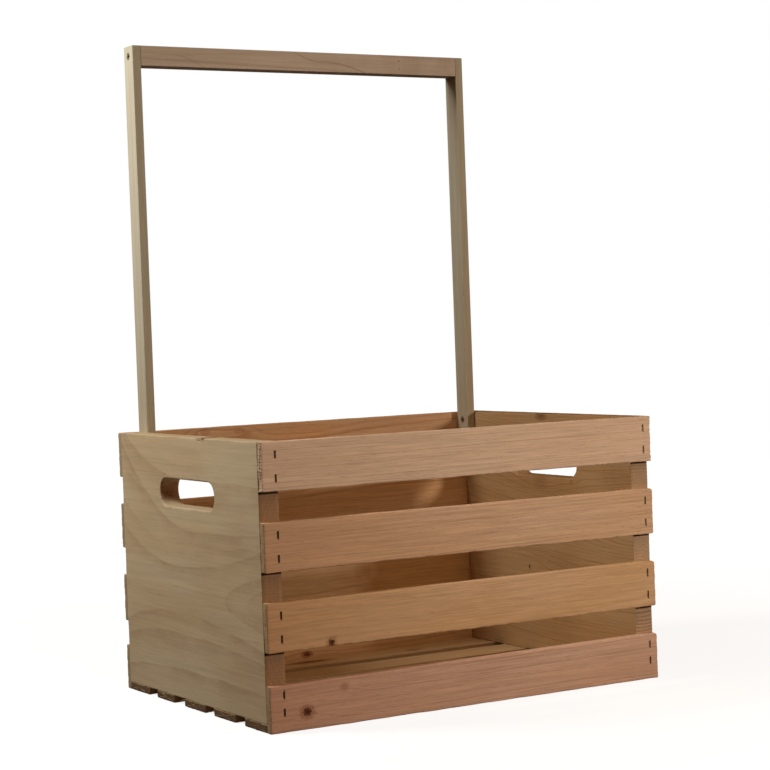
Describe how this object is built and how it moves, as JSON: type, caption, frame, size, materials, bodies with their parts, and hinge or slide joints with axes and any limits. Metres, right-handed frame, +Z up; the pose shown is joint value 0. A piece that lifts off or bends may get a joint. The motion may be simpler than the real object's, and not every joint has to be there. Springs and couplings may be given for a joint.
{
  "type": "apple crate with handle",
  "caption": "Open slatted pine crate on solid end boards with slotted hand holds, and a tall fixed handle frame standing inside its back corners.",
  "frame": {"origin": "middle of the underside: halfway along the slats and halfway between the front and back faces, in the plane that the crate rests on", "axes": "+X along the side slats towards the right end board, +Y from the open front towards the back slats and the handle frame, +Z up towards the top rail"},
  "size_m": [0.407, 0.297, 0.61],
  "materials": {
    "board_pine": "sanded, unfinished",
    "slat_pine": "sanded, unfinished",
    "stick_pine": "planed, unfinished",
    "staple_steel": "dulled",
    "screw_steel": "dulled"
  },
  "bodies": {
    "root": {"left_end_board": "board_pine", "right_end_board": "board_pine", "front_slat_1": "slat_pine", "front_slat_2": "slat_pine", "front_slat_3": "slat_pine", "front_slat_4": "slat_pine", "rear_slat_1": "slat_pine", "rear_slat_2": "slat_pine", "rear_slat_3": "slat_pine", "rear_slat_4": "slat_pine", "floor_slat_1": "slat_pine", "floor_slat_2": "slat_pine", "floor_slat_3": "slat_pine", "floor_slat_4": "slat_pine", "floor_slat_5": "slat_pine", "left_post": "stick_pine", "right_post": "stick_pine", "top_rail": "stick_pine", "front_left_staples": "staple_steel", "front_right_staples": "staple_steel", "rear_left_staples": "staple_steel", "rear_right_staples": "staple_steel", "floor_left_staples": "staple_steel", "floor_right_staples": "staple_steel", "left_post_screws": "screw_steel", "left_rail_screw": "screw_steel", "right_post_screws": "screw_steel", "right_rail_screw": "screw_steel"}
  },
  "joints": []
}
